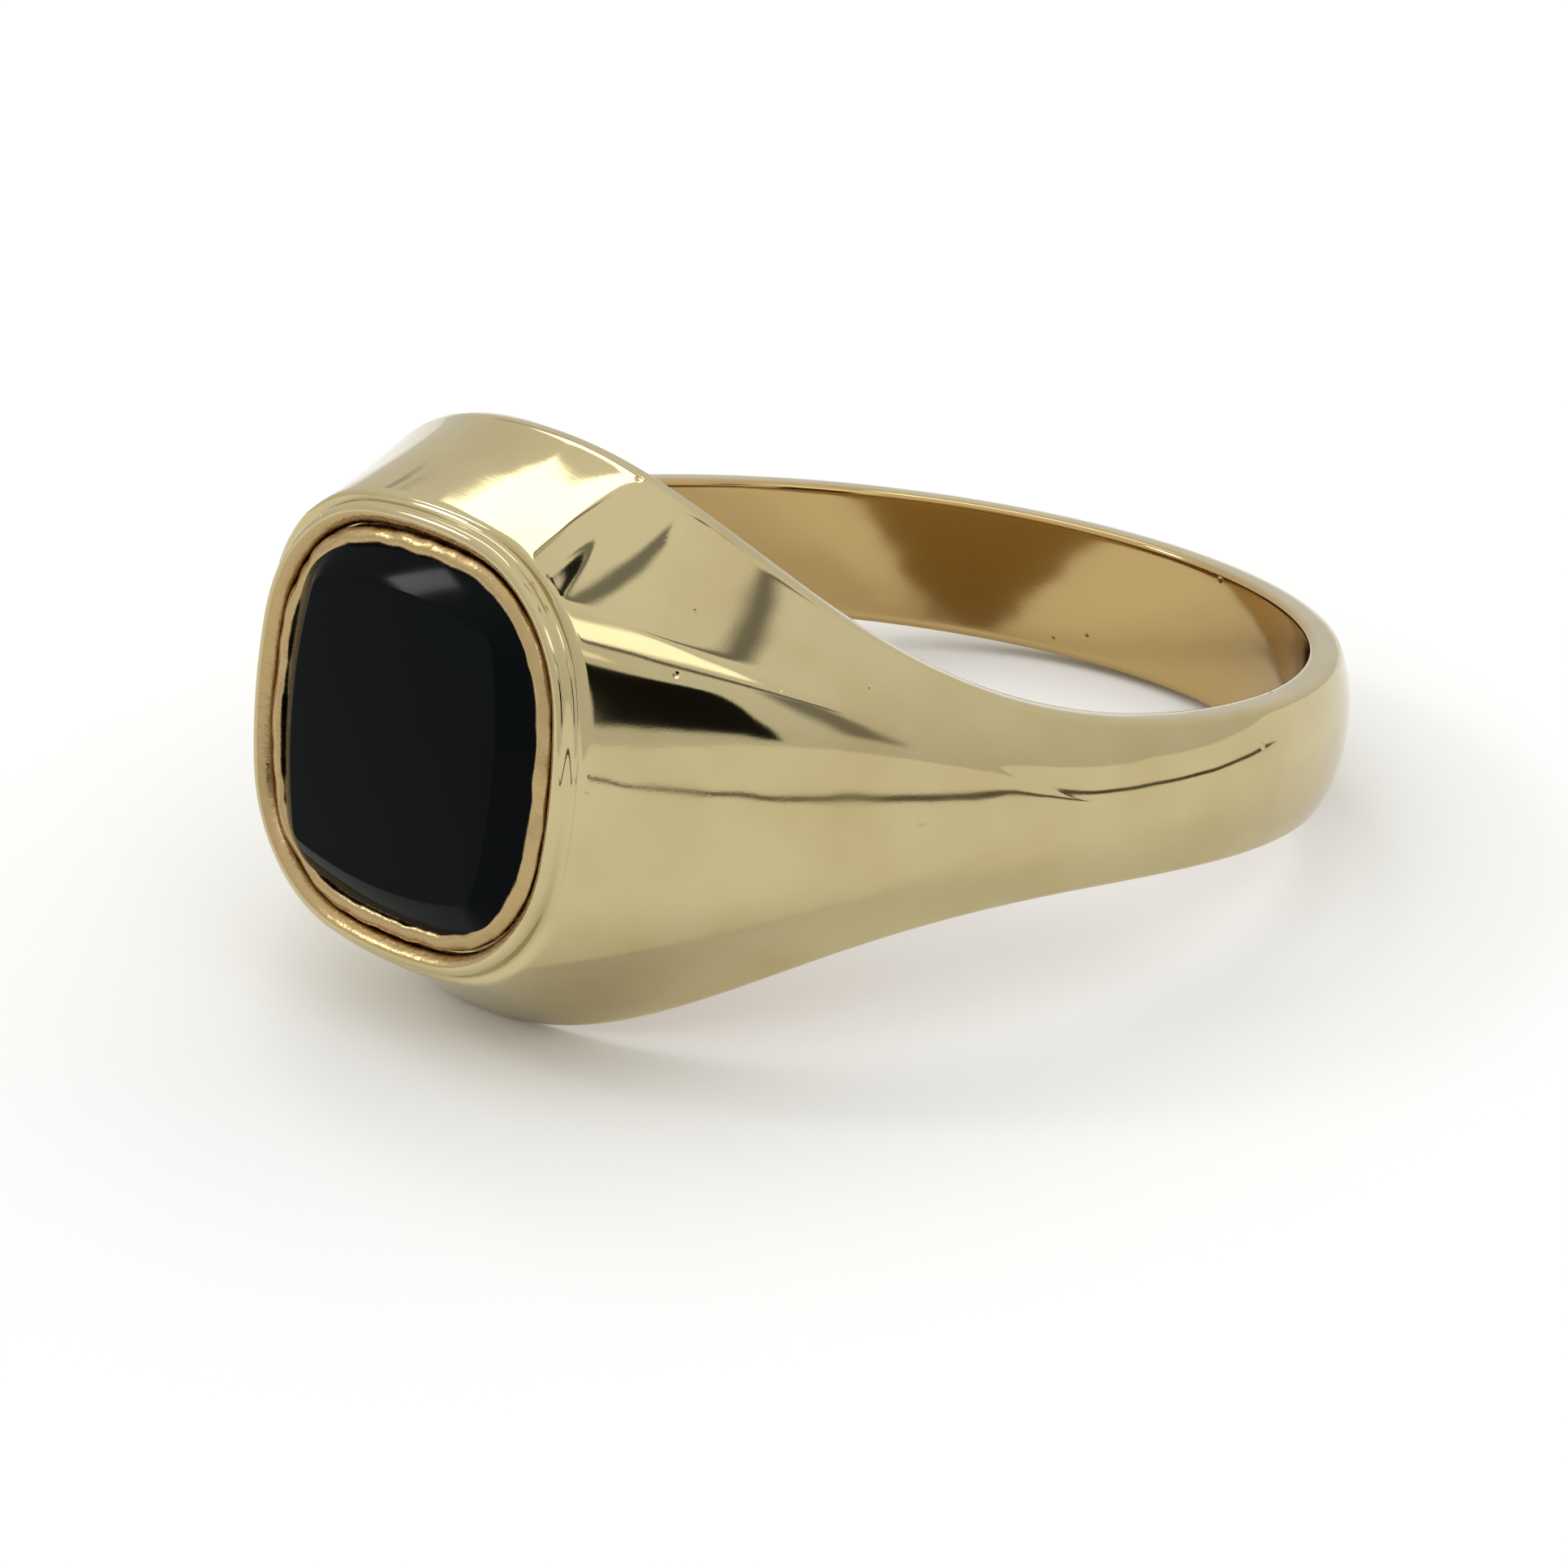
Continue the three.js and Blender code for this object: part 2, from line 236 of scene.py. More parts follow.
# Rows across the flat top follow the outline's upper edge; the ones behind it follow its side.
right_rows = [
    section([(HEAD_TOP, v, w * i / MIDDLE_OF_CORNER) for i in range(MIDDLE_OF_CORNER + 1)])
    for v, w in reversed(outline[MIDDLE_OF_CORNER + 1:])]
seam = math.radians(SEAM_ANGLE)
right_rows += [band_row(top_angle), band_row(top_angle + RIDGE_ROUND_AT_FACE / top_corner)]
right_rows += [band_row(mix(top_angle, seam, i / SHOULDER_STEPS)) for i in range(1, SHOULDER_STEPS + 1)]
shank_rows = [band_row(mix(seam, math.pi, 2 * i / SHANK_STEPS)) for i in range(1, SHANK_STEPS // 2 + 1)]
half_rows = right_rows + shank_rows
rows = half_rows + [[(u, -v, w) for u, v, w in row] for row in half_rows[-2:0:-1]]


def select_only(obj):
    bpy.ops.object.select_all(action="DESELECT")
    obj.select_set(True)
    bpy.context.view_layer.objects.active = obj


def apply_modifier(obj, kind, **settings):
    select_only(obj)
    modifier = obj.modifiers.new(kind.lower(), kind)
    for key, value in settings.items():
        setattr(modifier, key, value)
    bpy.ops.object.modifier_apply(modifier=modifier.name)


def smooth_shaded(obj, sharpest):
    """Shade smoothly across every edge up to sharpest, in degrees."""
    select_only(obj)
    bpy.ops.object.shade_smooth_by_angle(angle=math.radians(sharpest))


def finish_edit():
    """Turn every face outwards and leave edit mode."""
    bpy.ops.mesh.select_all(action="SELECT")
    bpy.ops.mesh.normals_make_consistent(inside=False)
    bpy.ops.object.mode_set(mode="OBJECT")


def settle(obj, name):
    """Name the piece and move its place into its mesh, so that its object stands at the origin."""
    obj.name = name
    obj.data.name = name
    select_only(obj)
    bpy.ops.object.transform_apply(location=True, rotation=True, scale=True)


# A mirror finish shows every facet, so the band is a grid with its points on the sections, joined
# where it meets itself, and then subdivided.
SAME_POINT = 1e-7  # metres
SUBDIVISION = {"levels": 2, "render_levels": 2}

bpy.ops.object.select_all(action="DESELECT")
bpy.ops.mesh.primitive_grid_add(x_subdivisions=len(rows[0]), y_subdivisions=len(rows), size=1)
band = bpy.context.object
for index, vertex in enumerate(band.data.vertices):
    row, column = divmod(index, len(rows[0]) + 1)
    vertex.co = place(*rows[row % len(rows)][column % len(rows[0])])
bpy.ops.object.mode_set(mode="EDIT")
bpy.ops.mesh.select_all(action="SELECT")
bpy.ops.mesh.remove_doubles(threshold=SAME_POINT)
finish_edit()
apply_modifier(band, "SUBSURF", **SUBDIVISION)
bpy.ops.object.shade_smooth()

# Parted at the two seams, each closed with a flat end, and shaded as the one band they were.
bpy.ops.object.duplicate()
whole = bpy.context.object
select_only(band)
bpy.ops.object.mode_set(mode="EDIT")
bpy.ops.mesh.select_mode(type="FACE")
bpy.ops.mesh.select_all(action="DESELECT")
bpy.ops.object.mode_set(mode="OBJECT")
for polygon in band.data.polygons:
    out = (polygon.center - bore_middle).normalized()
    polygon.select = out.dot(face_out) < math.cos(seam) * out.cross(along_finger).length
bpy.ops.object.mode_set(mode="EDIT")
bpy.ops.mesh.separate(type="SELECTED")
bpy.ops.object.mode_set(mode="OBJECT")
head = band
shank = next(o for o in bpy.context.selected_objects if o != band)
for part in (head, shank):
    select_only(part)
    bpy.ops.object.mode_set(mode="EDIT")
    bpy.ops.mesh.select_all(action="DESELECT")
    bpy.ops.mesh.select_mode(type="EDGE")
    bpy.ops.mesh.select_non_manifold()
    bpy.ops.mesh.edge_face_add()
    bpy.ops.object.mode_set(mode="OBJECT")

# The socket for the collet, sunk into the head's flat top.
FACE_OUTLINE = {"half_width": 4.4, "half_length": 4.5, "bow": 0.92, "corner": 3.3}
SOCKET_FLOOR = 10.941
SOCKET_CUT = 2  # height of the cutter, which comes out through the flat top
SOCKET_GROW = -0.44  # its wall, inside the face's outline
OFF_CENTRE = (0, 0.007, 0.011)
BAND_SHARPEST = 50
SAME_SURFACE = 0.001  # how near the whole band a corner has to be to take its shading
OUTLINE_STEPS = {"side_steps": 10, "corner_steps": 14}


def whole_outline(shape, grow):
    """The whole cushion outline, moved out by grow, once round."""
    quarter = cushion(shape, grow, **OUTLINE_STEPS)
    half = quarter + [(-v, w) for v, w in quarter[-2::-1]]
    return half + [(v, -w) for v, w in half[-2:0:-1]]


def outline_plate(shape, grow, u):
    """A closed cushion-shaped plate at height u, looking out through the face: a circle primitive
    drawn onto the outline and filled."""
    loop = whole_outline(shape, grow)
    bpy.ops.object.select_all(action="DESELECT")
    bpy.ops.mesh.primitive_circle_add(vertices=len(loop), radius=shape["half_width"] * MM)
    plate = bpy.context.object
    for vertex, (v, w) in zip(plate.data.vertices, loop):
        vertex.co = place(u, v, w)
    bpy.ops.object.mode_set(mode="EDIT")
    bpy.ops.mesh.select_mode(type="FACE")
    bpy.ops.mesh.select_all(action="SELECT")
    bpy.ops.mesh.edge_face_add()
    bpy.ops.mesh.normals_make_consistent(inside=False)
    bpy.ops.object.mode_set(mode="OBJECT")
    if plate.data.polygons[0].normal.dot(face_out) < 0:
        plate.data.flip_normals()
    bpy.ops.object.mode_set(mode="EDIT")
    return plate


def raise_plate(height):
    """Extrude the plate out through the face by millimetres."""
    bpy.ops.mesh.extrude_region_move(TRANSFORM_OT_translate={"value": face_out * height * MM})


def step_in(profile):
    """Inset the plate step by step: each step goes inwards and up (or down) by millimetres."""
    for inwards, up in profile:
        bpy.ops.mesh.inset(thickness=inwards * MM, depth=up * MM, use_even_offset=True,
                           use_relative_offset=False)


cutter = outline_plate(FACE_OUTLINE, SOCKET_GROW, SOCKET_FLOOR)
raise_plate(SOCKET_CUT)
finish_edit()
# A hair off centre, because a corner of the cut that falls on an edge of the head leaves it open.
cutter.location = place(*OFF_CENTRE) - bore_middle
apply_modifier(head, "BOOLEAN", object=cutter, operation="DIFFERENCE", solver="EXACT")
bpy.data.objects.remove(cutter)
bpy.ops.object.mode_set(mode="EDIT")
bpy.ops.mesh.select_all(action="SELECT")
bpy.ops.mesh.remove_doubles(threshold=SAME_POINT)
bpy.ops.mesh.dissolve_degenerate(threshold=SAME_POINT)
bpy.ops.object.mode_set(mode="OBJECT")
for part, name in ((head, "signet_head_casting"), (shank, "shank_wire")):
    settle(part, name)
    smooth_shaded(part, BAND_SHARPEST)
    apply_modifier(part, "DATA_TRANSFER", object=whole, use_loop_data=True,
                   data_types_loops={"CUSTOM_NORMAL"}, loop_mapping="POLYINTERP_NEAREST",
                   use_max_distance=True, max_distance=SAME_SURFACE * MM)
bpy.data.objects.remove(whole)

# 9 carat yellow gold, cast and drawn, then buffed to a mirror. The eye gets a pale, slightly green
# gold that turns warm brown inside the bore, a painted shade for the bore's hollow, where the gold is
# also a little duller, out of the buff's reach, with faint hairlines from wear and a few pits that the buff
# didn't reach.


def linear(hex_colour):
    """An sRGB hex colour as linear red, green, blue and alpha."""
    channels = [int(hex_colour[i:i + 2], 16) / 255 for i in (1, 3, 5)]
    return (*[c / 12.92 if c <= 0.04045 else ((c + 0.055) / 1.055) ** 2.4 for c in channels], 1)


def add_node(tree, kind, settings=None, links=None):
    """One node of a tree: settings are its properties, or its inputs by name or number, and links
    say which output of which earlier node feeds an input."""
    node = tree.nodes.new(kind)
    for key, value in (settings or {}).items():
        if isinstance(key, int) or key in node.inputs:
            node.inputs[key].default_value = value
        else:
            setattr(node, key, value)
    for key, (source, output) in (links or {}).items():
        tree.links.new(source.outputs[output], node.inputs[key])
    return node


def new_material(name):
    material = bpy.data.materials.new(name)
    material.use_nodes = True
    material.node_tree.nodes.clear()
    return material, material.node_tree


def per_mm(size):
    """The scale of a pattern on metres whose features are size millimetres across."""
    return 1 / (size * MM)


GOLD = "#c4b68a"
GOLD_WORN = "#bcab7e"
GOLD_BORE_SHADE = "#bba06c"
CLOUD_SIZE = 2.5
HAIRLINE_WIDTH = 0.05  # coarser than a real one, so that it shows
HAIRLINE_LENGTH = 2.0
HAIRLINE_DEPTH = 0.003
WAVE_SIZE = 1.6
WAVE_HEIGHT = 0.03
PIT_SPACING = 1.3
PIT_RADIUS = 0.1
PIT_DEPTH = 0.02
BORE_SHADE_FULL = 0.02  # height over the bore up to which the painted shade is full
BORE_SHADE_GONE = 0.22

polished_gold, tree = new_material("polished_gold_9ct_bore_shade")
here = add_node(tree, "ShaderNodeTexCoord")
ring_turn = Matrix((Vector((1, 0, 0)), along_finger.cross(Vector((1, 0, 0))), along_finger)).transposed()
from_bore = add_node(tree, "ShaderNodeMapping", {
    "vector_type": "TEXTURE", "Location": bore_middle, "Rotation": ring_turn.to_euler()},
    {"Vector": (here, "Object")})
flat = add_node(tree, "ShaderNodeVectorMath", {"operation": "MULTIPLY", 1: (1, 1, 0)}, {0: (from_bore, 0)})
reach = add_node(tree, "ShaderNodeVectorMath", {"operation": "LENGTH"}, {0: (flat, 0)})
# 1 in the bore, where the painted shade of its hollow goes
inside = add_node(tree, "ShaderNodeMapRange", {
    "interpolation_type": "SMOOTHSTEP", "From Min": (BORE_RADIUS + BORE_SHADE_GONE) * MM,
    "From Max": (BORE_RADIUS + BORE_SHADE_FULL) * MM}, {"Value": (reach, "Value")})
clouds = add_node(tree, "ShaderNodeTexNoise", {
    "Scale": per_mm(CLOUD_SIZE), "Detail": 3.0, "Roughness": 0.5}, {"Vector": (here, "Object")})
patchy = add_node(tree, "ShaderNodeMapRange", {"From Min": 0.4, "From Max": 0.7}, {"Value": (clouds, 0)})
outer = add_node(tree, "ShaderNodeMix", {
    "data_type": "RGBA", 6: linear(GOLD), 7: linear(GOLD_WORN)}, {0: (patchy, 0)})
# the painted shade of the bore, mixed over the gold
colour = add_node(tree, "ShaderNodeMix", {
    "data_type": "RGBA", 7: linear(GOLD_BORE_SHADE)}, {0: (inside, 0), 6: (outer, 2)})
stretched = add_node(tree, "ShaderNodeMapping", {
    "Rotation": (0.3, 0.2, 0.5),
    "Scale": (per_mm(HAIRLINE_LENGTH), per_mm(HAIRLINE_WIDTH), per_mm(HAIRLINE_WIDTH))},
    {"Vector": (here, "Object")})
hairlines = add_node(tree, "ShaderNodeTexNoise", {"Scale": 1.0, "Detail": 2.0}, {"Vector": (stretched, 0)})
buffed = add_node(tree, "ShaderNodeBump", {
    "Strength": 0.05, "Distance": HAIRLINE_DEPTH * MM}, {"Height": (hairlines, 0)})
waves = add_node(tree, "ShaderNodeTexNoise", {
    "Scale": per_mm(WAVE_SIZE), "Detail": 1.0}, {"Vector": (here, "Object")})
uneven = add_node(tree, "ShaderNodeBump", {
    "Strength": 0.35, "Distance": WAVE_HEIGHT * MM}, {"Height": (waves, 0), "Normal": (buffed, 0)})
cells = add_node(tree, "ShaderNodeTexVoronoi", {"Scale": per_mm(PIT_SPACING)}, {"Vector": (here, "Object")})
pits = add_node(tree, "ShaderNodeMapRange", {
    "interpolation_type": "SMOOTHSTEP", "From Min": 0.0, "From Max": PIT_RADIUS / PIT_SPACING},
    {"Value": (cells, "Distance")})
pitted = add_node(tree, "ShaderNodeBump", {
    "Strength": 0.8, "Distance": PIT_DEPTH * MM}, {"Height": (pits, 0), "Normal": (uneven, 0)})
outer_shine = add_node(tree, "ShaderNodeMapRange", {
    "From Min": 0.3, "From Max": 0.8, "To Min": 0.03, "To Max": 0.09}, {"Value": (clouds, 0)})
shine = add_node(tree, "ShaderNodeMix", {"data_type": "FLOAT", 3: 0.1}, {0: (inside, 0), 2: (outer_shine, 0)})
surface = add_node(tree, "ShaderNodeBsdfPrincipled", {"Metallic": 1.0}, {
    "Base Color": (colour, 2), "Roughness": (shine, 0), "Normal": (pitted, 0)})
add_node(tree, "ShaderNodeOutputMaterial", links={"Surface": (surface, 0)})

for part, node in ((head, "signet_head"), (shank, "shank")):
    part.data.materials.append(polished_gold)
    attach(part, "root")
    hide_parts(node)


# ---- Face frame ----
# A strip of the same gold, bent to the cushion outline and soldered onto the head's flat top. The
# solder has flowed out into a little hollow at its foot, and its top is rounded over by polishing.
FRAME_FOOT = 12.2  # a little below the head's flat top
FRAME_SINK = 0.1
FILLET = 0.12
FRAME_PROFILE = (  # inwards and up, from the fillet over the rounded top and down the inner wall
    (0.05, 0.014), (0.035, 0.03), (0.02, 0.07), (0.01, 0.1), (0.03, 0.075), (0.06, 0.045),
    (0.06, 0.014), (0.06, -0.006), (0.07, -0.04), (0.08, -0.08), (0.05, -0.08), (0.03, -0.09),
    (0.005, -0.08))
RIM_SHARPEST = 60
QUAD = 4


def open_out(plate):
    """Turn a stepped plate into a ring: its flat faces at the front and back go, and the two rims
    that they leave are bridged."""
    bpy.ops.mesh.delete(type="ONLY_FACE")
    bpy.ops.object.mode_set(mode="OBJECT")
    for polygon in plate.data.polygons:
        polygon.select = len(polygon.vertices) > QUAD
    bpy.ops.object.mode_set(mode="EDIT")
    bpy.ops.mesh.select_mode(type="FACE")
    bpy.ops.mesh.delete(type="ONLY_FACE")
    bpy.ops.mesh.select_mode(type="EDGE")
    bpy.ops.mesh.select_non_manifold()
    bpy.ops.mesh.bridge_edge_loops()
    finish_edit()
    apply_modifier(plate, "SUBSURF", **SUBDIVISION)


frame_piece = outline_plate(FACE_OUTLINE, FILLET, FRAME_FOOT)
raise_plate(FRAME_SINK)
step_in(FRAME_PROFILE)
open_out(frame_piece)
settle(frame_piece, "face_frame_strip")
smooth_shaded(frame_piece, RIM_SHARPEST)
frame_piece.data.materials.append(polished_gold)
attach(frame_piece, "root")
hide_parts("face_frame")


# ---- Collet ----
# A thin wall of gold that stands in the socket inside the frame. Its edge has been pushed over the
# stone with a hand tool, so it wavers, and it was never buffed as bright as the outside.
COLLET_FOOT = 10.991
COLLET_OUTER = -0.46
COLLET_WALL = (0.6, 0.86)  # its height in two courses
LIP_PROFILE = (  # inwards and up, over the lip and down against the stone
    (0.035, 0.05), (0.07, 0.055), (0.08, 0.04), (0.07, 0.015), (0.06, -0.02), (0.05, -0.035),
    (0.015, -0.05), (0.0005, -0.06))
INNER_DROP = 0.9  # how far down the inner wall goes from the lip
LIP_FROM = 12.35  # the wall stands straight below this height
LIP_TO = 12.5
LIP_WAVER = 0.06
LIP_WAVER_LENGTH = 1.1
RIPPLE = 0.7  # a finer waver, as a share of the first
RIPPLE_FINER = 2.7
LIFT = 0.8  # the waver up and down, as a share of the first
LIFT_FINER = 1.4
LIFT_SHIFT = Vector((7, 3, 5))

collet = outline_plate(FACE_OUTLINE, COLLET_OUTER, COLLET_FOOT)
for course in COLLET_WALL:
    raise_plate(course)
step_in(LIP_PROFILE)
raise_plate(-INNER_DROP)
open_out(collet)
for vertex in collet.data.vertices:
    offset = vertex.co - bore_middle
    u = offset.dot(face_out) / MM
    flat_out = (offset - face_out * offset.dot(face_out)).normalized()
    lip = smooth(u, LIP_FROM, LIP_TO)
    spot = vertex.co / (LIP_WAVER_LENGTH * MM)
    waver = noise.noise(spot) + RIPPLE * noise.noise(spot * RIPPLE_FINER)
    lift = noise.noise(spot * LIFT_FINER + LIFT_SHIFT)
    vertex.co += (flat_out * waver + face_out * lift * LIFT) * LIP_WAVER * lip * MM
settle(collet, "collet_pushed_over")
smooth_shaded(collet, RIM_SHARPEST)

# 9 carat gold worked by hand and left from the pusher: browner and duller than the polished gold,
# dimpled by the tool, and darkest down in the groove, partly from polishing compound that stays there and
# partly as painted shade of the groove's hollow.
PUSHED_GOLD = "#b59c6f"
GROOVE_COMPOUND_AND_SHADE = "#7d4a28"
DIMPLE_SIZE = 0.28
DIMPLE_DEPTH = 0.04
GROOVE_BOTTOM = 12.36
GROOVE_BRIM = 12.50

pushed_gold, tree = new_material("pushed_gold_9ct_groove_shade")
here = add_node(tree, "ShaderNodeTexCoord")
dimples = add_node(tree, "ShaderNodeTexNoise", {
    "Scale": per_mm(DIMPLE_SIZE), "Detail": 3.0, "Roughness": 0.6}, {"Vector": (here, "Object")})
above = add_node(tree, "ShaderNodeVectorMath", {
    "operation": "DOT_PRODUCT", 1: face_out}, {0: (here, "Object")})
groove_level = bore_middle.dot(face_out)
# the groove's dark band: polishing compound and painted shade of its hollow
groove_compound_and_shade = add_node(tree, "ShaderNodeMapRange", {
    "interpolation_type": "SMOOTHSTEP", "From Min": groove_level + GROOVE_BRIM * MM,
    "From Max": groove_level + GROOVE_BOTTOM * MM}, {"Value": (above, "Value")})
colour = add_node(tree, "ShaderNodeMix", {
    "data_type": "RGBA", 6: linear(PUSHED_GOLD), 7: linear(GROOVE_COMPOUND_AND_SHADE)}, {0: (groove_compound_and_shade, 0)})
shine = add_node(tree, "ShaderNodeMapRange", {
    "From Min": 0.3, "From Max": 0.7, "To Min": 0.18, "To Max": 0.34}, {"Value": (dimples, 0)})
dimpled = add_node(tree, "ShaderNodeBump", {
    "Strength": 0.5, "Distance": DIMPLE_DEPTH * MM}, {"Height": (dimples, 0)})
surface = add_node(tree, "ShaderNodeBsdfPrincipled", {"Metallic": 1.0}, {
    "Base Color": (colour, 2), "Roughness": (shine, 0), "Normal": (dimpled, 0)})
add_node(tree, "ShaderNodeOutputMaterial", links={"Surface": (surface, 0)})
collet.data.materials.append(pushed_gold)
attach(collet, "root")
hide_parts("collet")

# The frame's inner wall is out of the buff's reach too, so it takes the pushed gold, whose browner colour and
# dark groove band there are also painted shade of that recess.
LEAN_INWARDS = 0.22  # of a face's normal, from which it takes the pushed gold

frame_piece.data.materials.append(pushed_gold)
for polygon in frame_piece.data.polygons:
    offset = polygon.center - bore_middle
    outwards = (offset - face_out * offset.dot(face_out)).normalized()
    # inner wall: browner gold, partly painted shade of the recess
    polygon.material_index = int(polygon.normal.dot(outwards) < -LEAN_INWARDS)


# ---- Onyx tablet ----
# A flat slab of black onyx, cut to the cushion shape with a bevelled rim and polished. It sits
# on the collet's ledge in cement, and stands a little proud of the frame.
TABLET_OUTLINE = {"half_width": 3.61, "half_length": 3.71, "bow": 0.72, "corner": 1.5}
TABLET_FOOT = 11.331
TABLET_WALL = 1.16
TABLE_OUTLINE = {"half_width": 2.89, "half_length": 2.99, "bow": 0.45, "corner": 0.3}
BEVEL_WIDTH = 0.72
BEVEL_DROP = 0.44
EDGE_SOFTENING = 0.02
SOFTENED_FROM = 15
TABLET_SHARPEST = 12
SAME_CORNER = 0.05

tablet = outline_plate(TABLET_OUTLINE, 0, TABLET_FOOT)
raise_plate(TABLET_WALL)
step_in(((BEVEL_WIDTH, BEVEL_DROP),))
finish_edit()

# The lap cuts each bevel nearly flat, so the table's corners are tighter than the rim's.
evenly_inset = [place(TABLE_HEIGHT, v, w) for v, w in whole_outline(TABLET_OUTLINE, -BEVEL_WIDTH)]
as_lapped = [place(TABLE_HEIGHT, v, w) for v, w in whole_outline(TABLE_OUTLINE, 0)]
for vertex in tablet.data.vertices:
    apart = [(vertex.co - point).length for point in evenly_inset]
    if min(apart) < SAME_CORNER * MM:
        vertex.co = as_lapped[apart.index(min(apart))]
apply_modifier(tablet, "BEVEL", width=EDGE_SOFTENING * MM, segments=3, limit_method="ANGLE",
               angle_limit=math.radians(SOFTENED_FROM))
settle(tablet, "onyx_tablet_polished")
smooth_shaded(tablet, TABLET_SHARPEST)

# Black onyx, dyed and polished: near black with the least blue-green in it, and a smooth gloss that
# fine scratches break only slightly. The gloss is set far below a real stone's, because this one
# mirrors a white floor and would look grey.
ONYX = "#020405"
ONYX_CLOUD = "#04090a"
ONYX_GLOSS = 0.04
ONYX_CLOUD_SIZE = 3.0
SCUFF_SIZE = 0.12  # coarser than a real scratch, so that it shows
SCUFF_DEPTH = 0.003

onyx, tree = new_material("polished_onyx")
here = add_node(tree, "ShaderNodeTexCoord")
clouds = add_node(tree, "ShaderNodeTexNoise", {
    "Scale": per_mm(ONYX_CLOUD_SIZE), "Detail": 4.0}, {"Vector": (here, "Object")})
colour = add_node(tree, "ShaderNodeMix", {
    "data_type": "RGBA", 6: linear(ONYX), 7: linear(ONYX_CLOUD)}, {0: (clouds, 0)})
grain = add_node(tree, "ShaderNodeTexNoise", {
    "Scale": per_mm(SCUFF_SIZE), "Detail": 2.0}, {"Vector": (here, "Object")})
shine = add_node(tree, "ShaderNodeMapRange", {
    "From Min": 0.3, "From Max": 0.7, "To Min": 0.05, "To Max": 0.12}, {"Value": (clouds, 0)})
scuffed = add_node(tree, "ShaderNodeBump", {
    "Strength": 0.06, "Distance": SCUFF_DEPTH * MM}, {"Height": (grain, 0)})
surface = add_node(tree, "ShaderNodeBsdfPrincipled", {"IOR": 1.54, "Specular IOR Level": ONYX_GLOSS}, {
    "Base Color": (colour, 2), "Roughness": (shine, 0), "Normal": (scuffed, 0)})
add_node(tree, "ShaderNodeOutputMaterial", links={"Surface": (surface, 0)})
tablet.data.materials.append(onyx)
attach(tablet, "root")
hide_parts("onyx_tablet")


# ---- Cement bed ----
# A thin bed of setter's cement under the stone, a brown resin poured in warm. It is hidden once
# the stone is in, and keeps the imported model's shape.
CEMENT = "#5a3a24"
CEMENT_GRAIN = "#7a5738"
CEMENT_GRAIN_SIZE = 0.2
CEMENT_LUMPS = 0.03

cement, tree = new_material("resin_cement")
here = add_node(tree, "ShaderNodeTexCoord")
grains = add_node(tree, "ShaderNodeTexNoise", {
    "Scale": per_mm(CEMENT_GRAIN_SIZE), "Detail": 4.0}, {"Vector": (here, "Object")})
colour = add_node(tree, "ShaderNodeMix", {
    "data_type": "RGBA", 6: linear(CEMENT), 7: linear(CEMENT_GRAIN)}, {0: (grains, 0)})
lumpy = add_node(tree, "ShaderNodeBump", {
    "Strength": 0.4, "Distance": CEMENT_LUMPS * MM}, {"Height": (grains, 0)})
surface = add_node(tree, "ShaderNodeBsdfPrincipled", {"Roughness": 0.7}, {
    "Base Color": (colour, 2), "Normal": (lumpy, 0)})
add_node(tree, "ShaderNodeOutputMaterial", links={"Surface": (surface, 0)})
cement_bed = frame["nodes"]["cement_bed"]
cement_bed.data.materials.clear()
cement_bed.data.materials.append(cement)


# ---- Floor ----
# A sheet of white paper, bright enough to lose its grain.
FLOOR_SIZE = 2.0  # metres
PAPER = "#fbfbfa"

bpy.ops.object.select_all(action="DESELECT")
bpy.ops.mesh.primitive_plane_add(size=FLOOR_SIZE)
floor = bpy.context.object
floor.name = "floor"
paper, tree = new_material("matt_paper")
surface = add_node(tree, "ShaderNodeBsdfPrincipled", {
    "Base Color": linear(PAPER), "Roughness": 0.9})
add_node(tree, "ShaderNodeOutputMaterial", links={"Surface": (surface, 0)})
floor.data.materials.append(paper)


# ---- Dark strip ----
# A narrow dark strip that lies on the floor off to the right, a painted shade standing in for the shaded edge
# of the paper. Only mirror reflections see it: it casts no shadow, and it draws the thin dark line along the
# middle of the shoulder and the shank as a painted reflection.
EDGE_FROM = (20, 22)
EDGE_TO = (72, -86)
EDGE_WIDTH = 3.0
EDGE_LIFT = 0.1  # clear of the floor
EDGE_SHADE = "#57503f"

edge_run = Vector(EDGE_TO) - Vector(EDGE_FROM)
bpy.ops.object.select_all(action="DESELECT")
bpy.ops.mesh.primitive_plane_add(
    size=1, location=(*(Vector(EDGE_FROM) + edge_run / 2) * MM, EDGE_LIFT * MM),
    rotation=(0, 0, math.atan2(edge_run.y, edge_run.x)))
painted_edge_shade_strip = bpy.context.object
painted_edge_shade_strip.name = "painted_edge_shade_strip"
painted_edge_shade_strip.scale = (edge_run.length * MM, EDGE_WIDTH * MM, 1)
painted_edge_shade_strip.visible_camera = False
painted_edge_shade_strip.visible_shadow = False
painted_edge_shade_strip.visible_diffuse = False
# its dark colour is painted shade, seen only in the gold's reflections
shade, tree = new_material("shaded_edge")
surface = add_node(tree, "ShaderNodeBsdfPrincipled", {
    "Base Color": linear(EDGE_SHADE), "Roughness": 1.0, "Specular IOR Level": 0.0})
add_node(tree, "ShaderNodeOutputMaterial", links={"Surface": (surface, 0)})
painted_edge_shade_strip.data.materials.append(shade)


# ---- Studio light ----
# A pale room all round, with a large window behind on the left, a softbox over the camera, a small
# and very bright window on the left that the stone's bevel catches, and dark panels for the camera,
# whoever holds it and the bars of the room.

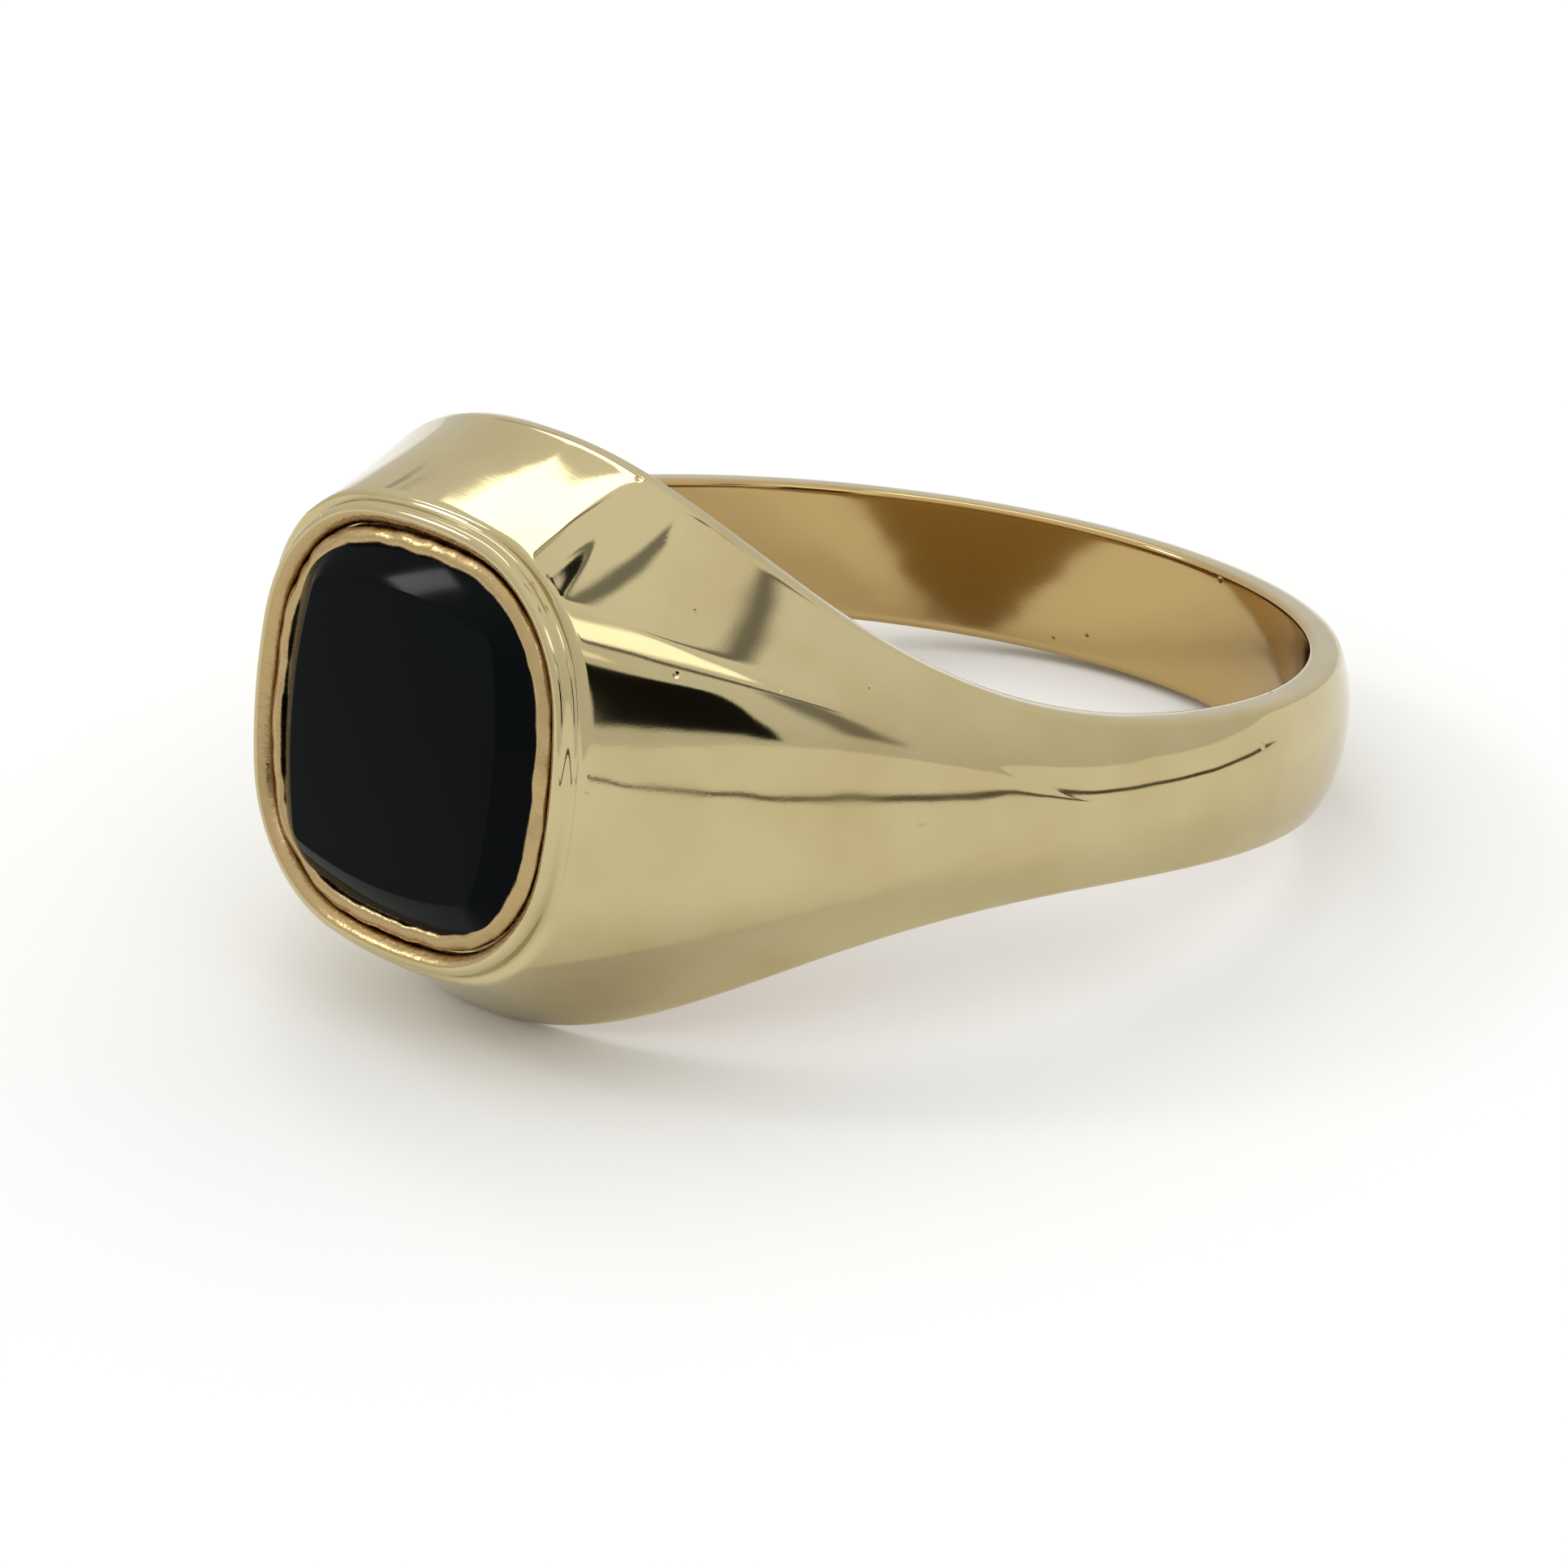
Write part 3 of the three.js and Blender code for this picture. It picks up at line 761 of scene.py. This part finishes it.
# Each panel is: azimuth from the front towards the right, half width, elevation, half height, lean
# (how much it climbs for each degree of azimuth) and softness, in degrees, and its brightness.
PANELS = (
    (-139, 21.5, 59.5, 7.5, -0.65, 1.5, 4.4),  # large window
    (-142, 25, 50.0, 1.3, -0.85, 1.0, 0.35),  # bars under it
    (-142, 25, 46.0, 1.0, -0.85, 1.0, 0.55),
    (66, 20, 45, 7, 0, 4, 2.6),  # softbox
    (70, 19, 34, 1.3, -0.32, 2, 0.2),  # bar under it
    (52, 6, 29, 1.5, 0, 1, 1.8),  # lit top of the camera
    (57.5, 10, 12.5, 10.5, -0.1, 1.5, 0.012),  # camera
    (82, 4, 19, 10, 0, 5, 0.35),  # whoever holds it
    (120, 12, 58, 1.6, -0.2, 2.5, 0.3),  # bars on the right
    (148, 10, 69, 1.8, -0.4, 2, 0.35),
    (151, 3.5, 62, 2.5, 0.2, 1.5, 0.02),
    (-58, 3.5, 38, 6, 0, 1.0, 18.0),  # small window
)
ROOM_LOW = 0.98  # brightness level with the ring
ROOM_HIGH = 1.3  # and high up
ROOM_TOP = 1.2  # how high up that is, in radians

world = bpy.data.worlds.new("studio")
bpy.context.scene.world = world
world.use_nodes = True
sky = world.node_tree
sky.nodes.clear()
way = add_node(sky, "ShaderNodeTexCoord")
parts = add_node(sky, "ShaderNodeSeparateXYZ", links={0: (way, "Generated")})
backwards = add_node(sky, "ShaderNodeMath", {"operation": "MULTIPLY", 1: -1.0}, {0: (parts, 1)})
azimuth_now = add_node(sky, "ShaderNodeMath", {"operation": "ARCTAN2"}, {0: (parts, 0), 1: (backwards, 0)})
elevation_now = add_node(sky, "ShaderNodeMath", {"operation": "ARCSINE"}, {0: (parts, 2)})


def within(angle, middle, half, softness):
    """1 where an angle of the sky is within half of the middle, falling softly to 0 outside, and
    how far the angle is from the middle."""
    apart = add_node(sky, "ShaderNodeMath", {
        "operation": "SUBTRACT", 1: math.radians(middle)}, {0: (angle, 0)})
    wrapped = add_node(sky, "ShaderNodeMath", {
        "operation": "WRAP", 1: math.pi, 2: -math.pi}, {0: (apart, 0)})
    size = add_node(sky, "ShaderNodeMath", {"operation": "ABSOLUTE"}, {0: (wrapped, 0)})
    inside = add_node(sky, "ShaderNodeMapRange", {
        "interpolation_type": "SMOOTHSTEP", "From Min": math.radians(half + softness / 2),
        "From Max": math.radians(half - softness / 2)}, {"Value": (size, 0)})
    return inside, wrapped


light = add_node(sky, "ShaderNodeMapRange", {
    "From Min": 0.0, "From Max": ROOM_TOP, "To Min": ROOM_LOW, "To Max": ROOM_HIGH},
    {"Value": (elevation_now, 0)})
for azimuth, half_width, elevation, half_height, lean, softness, strength in PANELS:
    wide, aside = within(azimuth_now, azimuth, half_width, softness)
    climb = add_node(sky, "ShaderNodeMath", {"operation": "MULTIPLY", 1: -lean}, {0: (aside, 0)})
    upright = add_node(sky, "ShaderNodeMath", {"operation": "ADD"}, {0: (climb, 0), 1: (elevation_now, 0)})
    high, _ = within(upright, elevation, half_height, softness)
    both = add_node(sky, "ShaderNodeMath", {"operation": "MULTIPLY"}, {0: (wide, 0), 1: (high, 0)})
    light = add_node(sky, "ShaderNodeMix", {"data_type": "FLOAT", 3: strength}, {0: (both, 0), 2: (light, 0)})
background = add_node(sky, "ShaderNodeBackground", links={"Strength": (light, 0)})
add_node(sky, "ShaderNodeOutputWorld", links={"Surface": (background, 0)})
bpy.context.scene.view_settings.view_transform = "Standard"
